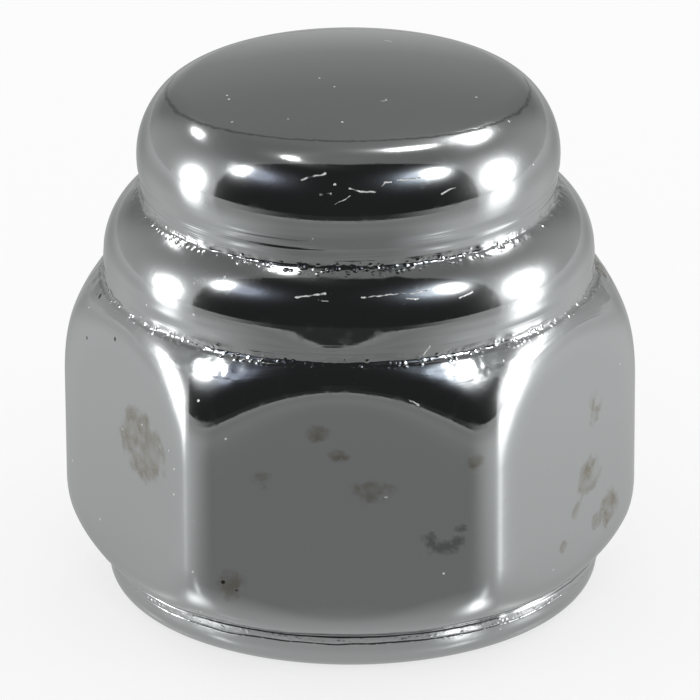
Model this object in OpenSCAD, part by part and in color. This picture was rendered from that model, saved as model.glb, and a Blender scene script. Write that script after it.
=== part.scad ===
// Cap nut of 17 mm across flats for an M10 x 1.25 thread.
// One piece of steel, turned from hexagon bar: a round foot, a hexagon with turned
// roundings at both ends, and a round cap in two tiers under a low crown.
// Every round stretch of its section is a true arc that runs on from its neighbours.
// The thread's hole is drawn at the thread's minor diameter.

/* [Hexagon] */
// Width across the flats, the size of the spanner
across_flats = 17; // [16.6:0.1:17.2]
// Radius of the rounded upright edges between the flats
upright_edge_r = 1.9; // [1.6:0.1:2.2]
// Diameter the bar is turned to, which leaves a narrow band on each upright edge
turned_d = 18.94; // [18.7:0.01:19.1]
// Radius of the turned rounding at the bottom of the hexagon
lower_rounding_r = 2.05; // [1.6:0.05:3]
// How far that rounding overhangs the foot's band
rounding_overhang = 0.05; // [0:0.01:0.1]
// Height of the upright stretch between the two roundings
waist_h = 4.62; // [3:0.01:5.5]
// Radius of the turned rounding at the top of the hexagon
upper_rounding_r = 4.16; // [3:0.01:5.5]

/* [Foot] */
// Diameter of the foot, which is the washer face the nut bears on
foot_d = 16.28; // [15.4:0.01:16.4]
// Height of the foot
foot_h = 1.34; // [1.1:0.01:2]
// Radius of the foot's rounded bottom edge
foot_edge_r = 0.7; // [0.3:0.05:0.75]
// Height of the raised band at the top of the foot
foot_band_h = 0.3; // [0.15:0.05:0.35]
// How far that band stands out from the foot
foot_band_step = 0.08; // [0.04:0.01:0.15]

/* [Lower tier] */
// Diameter of the lower tier
lower_tier_d = 16.2; // [15.6:0.1:16.6]
// Height of the tier's upright wall
lower_wall_h = 0.75; // [0.5:0.05:2]
// Radius of the tier's quarter-round shoulder
lower_shoulder_r = 2.35; // [1.9:0.05:2.8]
// Radius of the fillet in the root between the hexagon and the tier
lower_root_r = 0.3; // [0.15:0.05:0.45]

/* [Upper tier] */
// Largest diameter of the upper tier
upper_tier_d = 13.94; // [13.6:0.01:14.2]
// Diameter of the neck turned at the tier's root
neck_d = 13.68; // [13.3:0.01:13.75]
// Height of that neck
neck_h = 0.5; // [0.4:0.05:1.2]
// Radius of the tier's barrel-shaped side
side_r = 2.7; // [2:0.05:3.2]
// How far round the side has turned in where the rim starts
side_turn = 37.5; // [30:0.5:50]
// Radius of the rim between the side and the crown
rim_r = 1.8; // [1.2:0.05:1.9]
// How far round the surface has turned where the crown starts
rim_turn = 79; // [72:0.5:83]
// Radius of the fillet in the root between the two tiers
upper_root_r = 0.2; // [0.1:0.05:0.3]

/* [Threaded hole] */
// Nominal diameter of the thread
thread_d = 10; // [8:0.5:11]
// Pitch of the thread
thread_pitch = 1.25; // [1:0.25:1.5]
// Depth of the hole at its full diameter
hole_depth = 12; // [8:0.5:13]
// Point angle of the drill that made the hole
drill_point = 118; // [110:1:140]
// Diameter of the countersink at the mouth
countersink_d = 10.6; // [10.2:0.1:12.5]
// Included angle of the countersink
countersink_angle = 120; // [90:5:130]

/* [Hidden] */
$fn = 96;

// An arc that only touches its neighbour leaves slivers, so the tighter of the two
// is drawn this much too large and crosses it, and laps this far past the join
HAIR = 0.0005;
LAP = 0.2;

// How far a cutting shape stands clear of what it cuts
OVERCUT = 1;

// How far a fillet is sunk behind the surfaces it joins, in fillet radii
FILLET_SINK = 0.5;

// Hexagon
HEXAGON_SIDES = 6;
sixth_turn = 360 / HEXAGON_SIDES;
upright_edge_centre_r = (across_flats / 2 - upright_edge_r) / cos(sixth_turn / 2);
turned_r = turned_d / 2;
band_r = foot_d / 2 + foot_band_step;
lower_rounding_end_r = band_r + rounding_overhang;
lower_rounding_centre_r = turned_r - lower_rounding_r;
lower_rounding_h = arc_rise(lower_rounding_r, turned_r - lower_rounding_end_r);
waist_low_z = foot_h + lower_rounding_h;
waist_high_z = waist_low_z + waist_h;
upper_rounding_centre = [turned_r - upper_rounding_r, waist_high_z];

// Lower tier: its root is where the hexagon's upper rounding has come in to its wall
lower_tier_r = lower_tier_d / 2;
lower_root_z = waist_high_z + arc_rise(upper_rounding_r, turned_r - lower_tier_r);
lower_shoulder_centre = [lower_tier_r - lower_shoulder_r, lower_root_z + lower_wall_h];

// Upper tier: its root is where the lower tier's shoulder has come in to its neck
upper_tier_r = upper_tier_d / 2;
neck_r = neck_d / 2;
upper_root_z = lower_shoulder_centre[1] + arc_rise(lower_shoulder_r, lower_tier_r - neck_r);
neck_top_z = upper_root_z + neck_h;
side_centre = [upper_tier_r - side_r, neck_top_z + arc_rise(side_r, upper_tier_r - neck_r)];
rim_centre = side_centre + (side_r - rim_r) * direction(side_turn);
rim_end = rim_centre + rim_r * direction(rim_turn);
crown_r = rim_end[0] / cos(rim_turn);
crown_centre_z = rim_end[1] - crown_r * sin(rim_turn);
side_end_z = side_centre[1] + side_r * sin(side_turn);

// Thread: the basic minor diameter of a metric thread is 1.0825 pitches less
MINOR_DIAMETER_PITCHES = 1.0825;
hole_r = (thread_d - MINOR_DIAMETER_PITCHES * thread_pitch) / 2;
drill_point_h = hole_r / tan(drill_point / 2);
countersink_h = (countersink_d / 2 - hole_r) / tan(countersink_angle / 2);

// Height over which an arc that starts upright has come in by drop
function arc_rise(arc_r, drop) = sqrt(pow(arc_r, 2) - pow(arc_r - drop, 2));

// Unit vector of the section at an angle above the outward direction
function direction(angle) = [cos(angle), sin(angle)];

// Half-section of a plain round stretch
module straight_stretch(r, z_low, z_high) {
  translate([0, z_low]) square([r, z_high - z_low]);
}

// Half-section of a stretch whose outside is an arc, with the solid inside it
module arc_stretch(arc_r, centre, z_low, z_high) {
  if (centre[0] > 0) straight_stretch(centre[0], z_low, z_high);
  intersection() {
    translate(centre) circle(arc_r);
    straight_stretch(centre[0] + arc_r + OVERCUT, z_low, z_high);
  }
}

// Fillet in the root between an upright wall and the convex arc below it
module root_fillet(wall_r, arc_r, arc_centre, fillet_r) {
  rise = sqrt(pow(arc_r + fillet_r, 2) - pow(wall_r + fillet_r - arc_centre[0], 2));
  centre = [wall_r + fillet_r, arc_centre[1] + rise];
  inward = (arc_centre - centre) / (arc_r + fillet_r);
  sunk_touch = centre + (1 + FILLET_SINK) * fillet_r * inward;
  sunk_wall_r = wall_r - FILLET_SINK * fillet_r;
  difference() {
    polygon([[sunk_wall_r, centre[1]], centre, sunk_touch, [sunk_wall_r, sunk_touch[1]]]);
    translate(centre) circle(fillet_r + HAIR);
  }
}

// Plan of the bar: a hexagon with round edges, two of its flats facing +Y and -Y
module hexagon_plan() {
  polygon([
    for (side = [0 : HEXAGON_SIDES - 1], turn = [-sixth_turn / 2, sixth_turn / 2])
      let (edge = side * sixth_turn)
        upright_edge_centre_r * direction(edge)
          + upright_edge_r * direction(edge + turn)
  ]);
  for (side = [0 : HEXAGON_SIDES - 1])
    translate(upright_edge_centre_r * direction(side * sixth_turn))
      circle(upright_edge_r + HAIR);
}

// Half-section that the bar is turned to between the foot and the lower tier
module hexagon_turning() {
  arc_stretch(lower_rounding_r + HAIR, [lower_rounding_centre_r, waist_low_z],
    foot_h, waist_low_z + LAP);
  straight_stretch(turned_r, waist_low_z, waist_high_z);
  arc_stretch(upper_rounding_r + HAIR, upper_rounding_centre,
    waist_high_z - LAP, lower_root_z);
}

// The hexagon between the foot and the lower tier
module hexagon() {
  intersection() {
    translate([0, 0, foot_h]) linear_extrude(lower_root_z - foot_h) hexagon_plan();
    rotate_extrude() hexagon_turning();
  }
}

// Foot: the washer face, with a raised band where it meets the hexagon
module foot() {
  rotate_extrude() {
    foot_edge_centre = [foot_d / 2 - foot_edge_r, foot_edge_r];
    arc_stretch(foot_edge_r + HAIR, foot_edge_centre, 0, foot_edge_r + LAP);
    straight_stretch(foot_d / 2, foot_edge_r, foot_h);
    straight_stretch(band_r, foot_h - foot_band_h, foot_h + LAP);
  }
}

// Lower tier: an upright wall that rises out of the hexagon, and its shoulder
module lower_tier() {
  rotate_extrude() {
    straight_stretch(lower_tier_r, waist_high_z, lower_shoulder_centre[1]);
    arc_stretch(lower_shoulder_r + HAIR, lower_shoulder_centre,
      lower_shoulder_centre[1] - LAP, upper_root_z);
    root_fillet(lower_tier_r, upper_rounding_r, upper_rounding_centre, lower_root_r);
  }
}

// Upper tier: a neck, a barrel-shaped side, a tight rim and a low crown
module upper_tier() {
  rotate_extrude() {
    straight_stretch(neck_r, lower_shoulder_centre[1], neck_top_z + LAP);
    arc_stretch(side_r, side_centre, neck_top_z - LAP, side_end_z);
    arc_stretch(rim_r + HAIR, rim_centre, side_end_z - LAP, rim_centre[1] + rim_r);
    arc_stretch(crown_r, [0, crown_centre_z], rim_end[1], rim_end[1] + rim_r);
    root_fillet(neck_r, lower_shoulder_r, lower_shoulder_centre, upper_root_r);
  }
}

// What is cut out from below: the countersink, the hole and the drill's point
module threaded_hole() {
  translate([0, 0, -OVERCUT]) cylinder(r = hole_r, h = hole_depth + OVERCUT);
  translate([0, 0, hole_depth]) cylinder(r1 = hole_r, r2 = 0, h = drill_point_h);
  cylinder(r1 = countersink_d / 2, r2 = hole_r, h = countersink_h);
}

// The whole nut
module cap_nut() {
  color("silver")
    difference() {
      union() {
        foot();
        hexagon();
        lower_tier();
        upper_tier();
      }
      threaded_hole();
    }
}

cap_nut();
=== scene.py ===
"""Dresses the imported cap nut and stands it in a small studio.

The nut is one piece: hexagon bar, turned, tapped blind from below, buffed and chrome
plated. Its skin replaces the plain solid and adds what the solid leaves out: the edges
that buffing softened, the turning rings, the rough creases that the buffing wheel could
not reach, the ragged foot, the helical thread, and the stains and scratches of use.
"""

import logging
import math
from dataclasses import dataclass, field
from enum import Enum

import bmesh
import bpy
import numpy as np
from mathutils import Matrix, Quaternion, Vector


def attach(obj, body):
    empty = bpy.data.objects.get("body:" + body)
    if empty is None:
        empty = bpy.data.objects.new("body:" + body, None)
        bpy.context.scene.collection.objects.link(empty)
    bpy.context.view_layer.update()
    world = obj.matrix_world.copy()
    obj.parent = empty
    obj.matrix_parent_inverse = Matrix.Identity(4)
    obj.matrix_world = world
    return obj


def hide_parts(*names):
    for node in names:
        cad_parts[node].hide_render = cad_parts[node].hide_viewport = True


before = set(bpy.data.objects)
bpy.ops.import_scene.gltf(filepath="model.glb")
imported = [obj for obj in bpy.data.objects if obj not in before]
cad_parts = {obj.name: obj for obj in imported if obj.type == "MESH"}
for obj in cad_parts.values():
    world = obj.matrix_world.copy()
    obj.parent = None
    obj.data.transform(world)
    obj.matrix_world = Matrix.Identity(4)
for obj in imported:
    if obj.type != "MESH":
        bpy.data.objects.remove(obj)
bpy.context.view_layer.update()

LOG = logging.getLogger("cap_nut")
MM = 0.001
SIXTH = math.pi / 3
GRAIN_ROWS = 512


def linear(hex_colour: str) -> tuple[float, float, float, float]:
    """Turns an sRGB colour into the linear one that Blender's sockets take.

    Each channel c becomes c / 12.92 up to 0.04045 and ((c + 0.055) / 1.055) ** 2.4 above.

    Args:
        hex_colour: The colour as "#rrggbb".

    Returns:
        Linear red, green and blue, and an alpha of 1.
    """
    channels = [int(hex_colour[i : i + 2], 16) / 255 for i in (1, 3, 5)]
    r, g, b = (
        c / 12.92 if c <= 0.04045 else ((c + 0.055) / 1.055) ** 2.4 for c in channels
    )
    return (r, g, b, 1.0)


def add_node(
    tree: bpy.types.NodeTree,
    kind: str,
    inputs: dict[str | int, object] | None = None,
    **settings: object,
) -> bpy.types.Node:
    """Adds a node to a tree with its settings, values and links.

    Args:
        tree: The node tree that gets the node.
        kind: The node's type name, without "ShaderNode" at its start.
        inputs: For each input socket, by name or place, its value, the socket to link
            to it, or the node whose first output in use is linked to it.
        **settings: Attributes of the node itself.

    Returns:
        The new node.
    """
    node = tree.nodes.new("ShaderNode" + kind)
    for name, value in settings.items():
        setattr(node, name, value)
    for name, value in (inputs or {}).items():
        if isinstance(value, bpy.types.Node):
            value = next(output for output in value.outputs if output.enabled)
        if isinstance(value, bpy.types.NodeSocket):
            tree.links.new(value, node.inputs[name])
        else:
            node.inputs[name].default_value = value
    return node


def new_material(name: str) -> tuple[bpy.types.Material, bpy.types.NodeTree]:
    """Makes a material with an empty node tree.

    Args:
        name: The material's name.

    Returns:
        The material and its tree.
    """
    made = bpy.data.materials.new(name)
    made.use_nodes = True
    made.node_tree.nodes.clear()
    return made, made.node_tree


def soft_min(a: np.ndarray, b: np.ndarray, width: float) -> np.ndarray:
    """Joins two surfaces at the lower one, with the edge between them worn round.

    min(a, b) - (width - |a - b|)^2 / (4 width) where |a - b| < width, else min(a, b).

    Args:
        a: Radii of the first surface.
        b: Radii of the second surface.
        width: How far apart the two are where the rounding starts.

    Returns:
        The joined radii.
    """
    gap = np.abs(a - b)
    return np.minimum(a, b) - np.where(gap < width, (width - gap) ** 2 / (4 * width), 0)


def ridge(x: np.ndarray, centre: float, width: float) -> np.ndarray:
    """Gives a smooth bump of height 1: exp(-((x - centre) / width)^2)."""
    return np.exp(-(((x - centre) / width) ** 2))


def smooth_step(x: np.ndarray, low: float, high: float) -> np.ndarray:
    """Gives t^2 (3 - 2 t) with t rising from 0 at low to 1 at high, for low > high too."""
    t = np.clip((x - low) / (high - low), 0, 1)
    return t * t * (3 - 2 * t)


def span(ends: tuple[float, float]) -> dict[str | int, object]:
    """Gives the inputs of a Map Range node that takes the ends to 0 and 1."""
    return {"From Min": ends[0], "From Max": ends[1]}


def straight(start: tuple, end: tuple, rows: int) -> np.ndarray:
    """Gives rows points (r, z) along a straight line, without its end point."""
    t = np.linspace(0, 1, rows, endpoint=False)[:, None]
    return np.array(start) * (1 - t) + np.array(end) * t


def arc(radius: float, centre: tuple, start: float, end: float, rows: int) -> np.ndarray:
    """Gives rows points (r, z) along an arc, centre + radius (cos a, sin a).

    Args:
        radius: The arc's radius.
        centre: The (r, z) of its centre.
        start: The first a, in degrees above the outward direction.
        end: The a that the arc stops short of.
        rows: How many points.

    Returns:
        The points, one in a row.
    """
    a = np.radians(np.linspace(start, end, rows, endpoint=False))
    return np.array(centre) + radius * np.stack([np.cos(a), np.sin(a)], axis=-1)


def grid_faces(rows: int, columns: int, first: int = 0, closed: bool = True) -> np.ndarray:
    """Numbers the quads of a grid of points, row by row, facing out for rising rows.

    Args:
        rows: How many rows of points.
        columns: How many points in a row.
        first: The number of the first point.
        closed: Whether the last column joins the first.

    Returns:
        Quads as an array of four point numbers each.
    """
    i = np.arange(rows - 1)[:, None]
    j = np.arange(columns if closed else columns - 1)[None, :]
    k = (j + 1) % columns
    low, high = first + i * columns, first + (i + 1) * columns
    quads = np.stack([low + j, low + k, high + k, high + j], axis=-1)
    return quads.reshape(-1, 4)


@dataclass(frozen=True)
class Grain:
    """Smooth random relief that closes on itself round the axis.

    It is drawn from seed on a grid of round_cells cells once round, each cell_mm high.
    """

    round_cells: int
    cell_mm: float
    seed: int

    def relief(self, angle: np.ndarray, height: np.ndarray) -> np.ndarray:
        """Gives the relief from -1 to 1.

        Values drawn at the corners of the grid's cells, eased with t^2 (3 - 2 t)
        between them.

        Args:
            angle: Angles round the axis, in radians.
            height: Heights in millimetres, of the same shape.

        Returns:
            The relief, of the same shape.
        """
        cells, rows = self.round_cells, GRAIN_ROWS
        table = np.random.default_rng(self.seed).uniform(-1, 1, (cells, rows))
        u = (angle / math.tau % 1) * cells
        v = height / self.cell_mm + rows / 2
        i, j = np.floor(u).astype(int), np.floor(v).astype(int)
        s, t = (x * x * (3 - 2 * x) for x in (u - i, v - j))
        i0, i1, j0, j1 = i % cells, (i + 1) % cells, j % rows, (j + 1) % rows
        low = table[i0, j0] * (1 - s) + table[i1, j0] * s
        high = table[i0, j1] * (1 - s) + table[i1, j1] * s
        return low * (1 - t) + high * t


class Stretch(Enum):
    """The stretches of the nut's outside, from the seat up to the crown."""

    SEAT = "seat"
    FOOT = "foot"
    LEDGE = "ledge"
    BAND = "band"
    HEXAGON = "hexagon"
    LOWER_TIER = "lower tier"
    UPPER_TIER = "upper tier"


@dataclass
class Section:
    """The turned half-section of the nut, in millimetres, in rows from the seat up."""

    seat_ring_r: float = 5.6
    foot_r: float = 8.14
    foot_edge_r: float = 0.74
    ledge_z: float = 1.06
    band_r: float = 8.225
    band_z: float = 1.344
    foot_groove: float = 0.06
    hexagon_foot_r: float = 8.27
    turned_r: float = 9.639
    lower_rounding_r: float = 2.51
    upper_rounding_r: float = 5.59
    waist_z: float = 7.153
    lower_root_z: float = 10.911
    lower_tier_r: float = 8.1
    lower_wall_z: float = 11.66
    lower_shoulder_r: float = 2.355
    upper_root_z: float = 13.742
    neck_r: float = 6.87
    root_step: float = 0.01
    side_z: float = 15.066
    side_r: float = 2.7
    side_max_r: float = 6.968
    side_turn: float = 37.5
    rim_r: float = 1.81
    rim_turn: float = 79.0

    def come_in(self, radius: float, drop: float) -> float:
        """Gives the angle, in degrees, at which an arc has come in by drop."""
        return math.degrees(math.acos((radius - drop) / radius))

    def gone_up(self, radius: float, rise: float) -> float:
        """Gives the angle, in degrees, at which an arc has gone up by rise."""
        return math.degrees(math.asin(rise / radius))

    def rim_centre(self) -> tuple[float, float]:
        """Works out the centre of the rim's arc, on the side's radius at side_turn.

        Returns:
            Its radius and height, in millimetres.
        """
        turn, inward = math.radians(self.side_turn), self.side_r - self.rim_r
        r = self.side_max_r - self.side_r + inward * math.cos(turn)
        return r, self.side_z + inward * math.sin(turn)

    def crown(self) -> tuple[float, float]:
        """Works out the arc of the crown, which runs on from the rim to the axis.

        Returns:
            Its radius, and the height of its centre on the axis, in millimetres.
        """
        turn = math.radians(self.rim_turn)
        centre_r, centre_z = self.rim_centre()
        radius = (centre_r + self.rim_r * math.cos(turn)) / math.cos(turn)
        return radius, centre_z + (self.rim_r - radius) * math.sin(turn)

    def rows(self) -> list[tuple[Stretch, np.ndarray]]:
        """Lays out the section.

        Returns:
            Each stretch with its points (r, z), in millimetres.
        """
        edge, groove, step = self.foot_edge_r, self.foot_groove, self.root_step
        low, up = self.lower_rounding_r, self.upper_rounding_r
        shoulder, side = self.lower_shoulder_r, self.side_r
        low_turn = self.come_in(low, self.turned_r - self.hexagon_foot_r)
        low_z = self.band_z + low * math.sin(math.radians(low_turn))
        up_turn = self.gone_up(up, self.lower_root_z - self.waist_z)
        shoulder_turn = self.gone_up(shoulder, self.upper_root_z - self.lower_wall_z)
        shoulder_c = (self.lower_tier_r - shoulder, self.lower_wall_z)
        side_c = (self.side_max_r - side, self.side_z)
        neck_turn = self.come_in(side, self.side_max_r - self.neck_r)
        neck_z = self.side_z - side * math.sin(math.radians(neck_turn))
        crown_r, crown_z = self.crown()
        under_ledge = (self.foot_r, self.ledge_z - groove)
        in_ledge = (self.foot_r - groove, self.ledge_z - groove / 2)
        on_ledge = (self.band_r, self.ledge_z)
        band_top = (self.band_r, self.band_z - groove)
        over_band = (self.band_r - groove, self.band_z - groove / 2)
        waist_low, waist_high = (self.turned_r, low_z), (self.turned_r, self.waist_z)
        wall_low = (self.lower_tier_r, self.lower_root_z + step)
        wall_high = (self.lower_tier_r, self.lower_wall_z)
        neck_low = (self.neck_r, self.upper_root_z + step)
        neck_high = (self.neck_r, neck_z)
        parts = {
            Stretch.SEAT: [straight((self.seat_ring_r, 0), (self.foot_r - edge, 0), 7)],
            Stretch.FOOT: [
                arc(edge, (self.foot_r - edge, edge), -90, 0, 11),
                straight((self.foot_r, edge), under_ledge, 5),
            ],
            Stretch.LEDGE: [
                straight(under_ledge, in_ledge, 2),
                straight(in_ledge, on_ledge, 2),
            ],
            Stretch.BAND: [
                straight(on_ledge, band_top, 5),
                straight(band_top, over_band, 2),
            ],
            Stretch.HEXAGON: [
                arc(low, (self.turned_r - low, low_z), -low_turn, 0, 22),
                straight(waist_low, waist_high, 9),
                arc(up, (self.turned_r - up, self.waist_z), 0, up_turn, 42),
            ],
            Stretch.LOWER_TIER: [
                straight(wall_low, wall_high, 14),
                arc(shoulder, shoulder_c, 0, shoulder_turn, 28),
            ],
            Stretch.UPPER_TIER: [
                straight(neck_low, neck_high, 12),
                arc(side, side_c, -neck_turn, 0, 10),
                arc(side, side_c, 0, self.side_turn, 12),
                arc(self.rim_r, self.rim_centre(), self.side_turn, self.rim_turn, 11),
                arc(crown_r, (0, crown_z), self.rim_turn, 90, 15),
            ],
        }
        return [(name, np.vstack(points)) for name, points in parts.items()]


@dataclass
class Hexagon:
    """The bar's plan: a hexagon with rounded upright edges, one of them at +X."""

    flat_r: float = 8.5
    edge_r: float = 1.2
    worn_width: float = 0.66

    def radius(self, angle: np.ndarray) -> np.ndarray:
        """Gives the plan's radius at each angle.

        flat_r / cos(a) along a flat, a being the angle from its middle, and on an edge
        the far crossing of the ray with the circle of edge_r about the edge's centre.

        Args:
            angle: Angles round the axis, in radians.

        Returns:
            Radii in millimetres.
        """
        off = np.abs(angle % SIXTH - SIXTH / 2)
        inner_r = self.flat_r - self.edge_r
        centre, from_edge = inner_r / math.cos(SIXTH / 2), SIXTH / 2 - off
        side = centre * np.sin(from_edge)
        reach = np.sqrt(np.maximum(self.edge_r**2 - side**2, 0))
        flat_end = math.atan(inner_r * math.tan(SIXTH / 2) / self.flat_r)
        flat = self.flat_r / np.cos(off)
        return np.where(off <= flat_end, flat, centre * np.cos(from_edge) + reach)


@dataclass
class Bore:
    """The blind hole: countersink, M10 x 1.25 right-hand thread, run-out, drill point."""

    pitch: float = 1.25
    major_r: float = 5.0
    minor_r: float = 4.3234
    mouth_r: float = 5.3
    countersink_angle: float = 120.0
    run_out_z: tuple[float, float] = (10.2, 11.4)
    depth: float = 12.0
    drill_point: float = 118.0
    pitch_rows: tuple[float, ...] = (
        0.0, 0.045, 0.08, 0.22, 0.36, 0.39, 0.5, 0.61, 0.64, 0.78, 0.92, 0.955,
    )  # fmt: skip
    point_rows: int = 7

    def radius(self, angle: np.ndarray, height: np.ndarray) -> np.ndarray:
        """Gives the wall's radius, with the groove of the thread cut into it.

        w is the axial distance from the middle of the groove, which stands at
        pitch * angle / 2 pi. The groove is major_r - sqrt(3) (w - pitch / 16), held
        between minor_r and major_r, and fades out over run_out_z. The countersink is
        mouth_r - height tan(half its angle), and the wider of the two shows.

        Args:
            angle: Angles round the axis, in radians.
            height: Heights above the seat, in millimetres.

        Returns:
            Radii in millimetres.
        """
        turn = (height / self.pitch - angle / math.tau) % 1
        off = np.minimum(turn, 1 - turn) * self.pitch
        groove = self.major_r - math.sqrt(3) * (off - self.pitch / 16)
        groove = np.clip(groove, self.minor_r, self.major_r) - self.minor_r
        groove = groove * smooth_step(height, self.run_out_z[1], self.run_out_z[0])
        sink = self.mouth_r - height * math.tan(math.radians(self.countersink_angle / 2))
        return np.maximum(self.minor_r + groove, sink)

    def grid(self, angles: np.ndarray) -> np.ndarray:
        """Lays the wall's rows along the helix, cut off level at the mouth and bottom.

        Row v stands at height pitch (v + angle / 2 pi), held between 0 and depth, so
        the rows follow the groove. The drill's point closes the grid as a cone.

        Args:
            angles: Angles of the columns, from 0 to a full turn inclusive.

        Returns:
            Points in millimetres, as rows x columns x 3.
        """
        turns = math.ceil(self.depth / self.pitch) + 1
        starts = np.concatenate([np.array(self.pitch_rows) + k for k in range(-1, turns)])
        height = self.pitch * (starts[:, None] + angles[None, :] / math.tau)
        height = np.clip(height, 0, self.depth)
        radius = self.radius(np.broadcast_to(angles, height.shape), height)
        cone_r = np.linspace(self.minor_r, 0, self.point_rows)[1:, None]
        cone_r = cone_r * np.ones_like(angles)
        point = math.tan(math.radians(self.drill_point / 2))
        cone_z = self.depth + (self.minor_r - cone_r) / point
        radius, height = np.vstack([radius, cone_r]), np.vstack([height, cone_z])
        return np.stack(
            [radius * np.cos(angles), radius * np.sin(angles), height], axis=-1
        )


@dataclass
class Workmanship:
    """What the tools, the buffing wheel and use left on the shape, in millimetres.

    Heights (names ending in z) are above the seat, and angles are in degrees round the
    axis from +X. A pair of heights says where something starts and where it is whole.
    """

    coarse: Grain = Grain(150, 0.3, 11)
    fine: Grain = Grain(340, 0.13, 12)
    slow: Grain = Grain(22, 0.9, 13)
    ledge_waves: tuple[Grain, Grain] = (Grain(30, 1.0, 14), Grain(90, 1.0, 15))
    ledge_short_share: float = 0.4
    coarse_share: float = 0.65
    slow_share: float = 0.5
    ring_pitch: float = 0.54
    ring_z: float = 13.985
    ring_depth: float = 0.02
    ring_end_z: tuple[float, float] = (14.95, 14.55)
    ring_share: float = 0.4
    wall_ring_end_z: tuple[float, float] = (12.0, 11.6)
    dug_angle: float = 250.0
    dug_reach: float = 15.0
    dug_share: float = 1.5
    dug_z: tuple[float, float] = (14.0, 14.3)
    faint_angle: float = 300.0
    faint_reach: float = 16.0
    faint_share: float = 0.3
    hollow_angle: float = 269.0
    hollow_reach: float = 15.0
    hollow_depth: float = 0.085
    hollow_wall_z: tuple[float, float] = (11.2, 12.0)
    hollow_shoulder_z: tuple[float, float] = (12.1, 13.5)
    buffed_reach: float = 22.0
    lower_crease_z: float = 10.911
    lower_crease_reach: float = 0.2
    upper_crease_z: float = 13.742
    upper_crease_reach: float = 0.17
    crease_depth: float = 0.05
    corner_reach: float = 12.0
    corner_share: float = 0.5
    corner_z: tuple[float, float] = (10.1, 10.4)
    shelf_share: float = 0.4
    shelf_z: tuple[float, float] = (10.6, 10.9)
    foot_depth: float = 0.018
    foot_slow_share: float = 0.6
    foot_wall_share: float = 0.3
    foot_z: tuple[float, float] = (0.4, 0.9)
    over_foot_z: tuple[float, float] = (1.8, 1.45)
    ledge_wave: float = 0.05
    foot_shift: float = 0.08

    def relief(self, name: Stretch, angle: np.ndarray, height: np.ndarray) -> np.ndarray:
        """Gives how far the surface stands out from the plain one.

        The neck has turning rings, ring_depth cos(2 pi (height - ring_z) / ring_pitch)
        times ring_share, and the tool dug deeper on one side, at dug_angle. The wheel
        flattened the lower tier's wall in front into a shallow hollow. It missed the
        creases, which are rough, and the foot.

        Args:
            name: The stretch.
            angle: Angles round the axis, in radians.
            height: Heights in millimetres, of the same shape.

        Returns:
            Radial offsets in millimetres.
        """
        rough = self.coarse_share * self.coarse.relief(angle, height)
        rough = rough + (1 - self.coarse_share) * self.fine.relief(angle, height)
        slow = self.slow.relief(angle, height)
        upper = ridge(height, self.upper_crease_z, self.upper_crease_reach)
        lower = ridge(height, self.lower_crease_z, self.lower_crease_reach)
        rings = np.cos(math.tau * (height - self.ring_z) / self.ring_pitch)
        place = np.degrees(angle) % 360
        if name is Stretch.UPPER_TIER:
            dug = self.dug_share * ridge(place, self.dug_angle, self.dug_reach)
            dug = dug * smooth_step(height, *self.dug_z)
            faint = ridge(place, self.faint_angle, self.faint_reach) + slow
            share = self.ring_share + dug + self.faint_share * faint
            rings = rings * share * smooth_step(height, *self.ring_end_z)
            return self.crease_depth * rough * upper - self.ring_depth * rings
        if name is Stretch.LOWER_TIER:
            off = place - self.hollow_angle
            share = self.hollow_depth * ridge(off, 0, self.hollow_reach)
            shape = smooth_step(height, *self.hollow_shoulder_z)
            shape = shape - smooth_step(height, *self.hollow_wall_z)
            rings = self.ring_share * rings * (1 - ridge(off, 0, self.buffed_reach))
            rings = rings * smooth_step(height, *self.wall_ring_end_z)
            creases = self.crease_depth * rough * (upper + lower)
            return creases + share * shape - self.ring_depth * rings
        if name is Stretch.HEXAGON:
            off = (place + 30) % 60 - 30
            corner = self.corner_share * ridge(off, 0, self.corner_reach)
            corner = corner * smooth_step(height, *self.corner_z)
            shelf = self.shelf_share * smooth_step(height, *self.shelf_z)
            foot = self.foot_depth * smooth_step(height, *self.over_foot_z)
            creases = self.crease_depth * np.maximum(corner, shelf)
            return rough * (creases + foot) * (1 + self.slow_share * slow)
        if name in (Stretch.LEDGE, Stretch.BAND):
            return self.foot_depth * (rough + self.foot_slow_share * slow)
        share = self.foot_wall_share * smooth_step(height, *self.foot_z)
        return self.foot_depth * rough * share

    def ledge(self, angle: np.ndarray, height: np.ndarray, s: Section) -> np.ndarray:
        """Gives how far the ragged ledge and what is near it are moved up.

        Args:
            angle: Angles round the axis, in radians.
            height: Heights in millimetres, of the same shape.
            s: The section, for where the ledge stands.

        Returns:
            Offsets in height, in millimetres.
        """
        long, short = (waves.relief(angle, height * 0) for waves in self.ledge_waves)
        near = smooth_step(height, s.foot_edge_r, s.ledge_z)
        near = near * smooth_step(height, s.band_z, s.ledge_z)
        return self.ledge_wave * (long + self.ledge_short_share * short) * near


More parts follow.
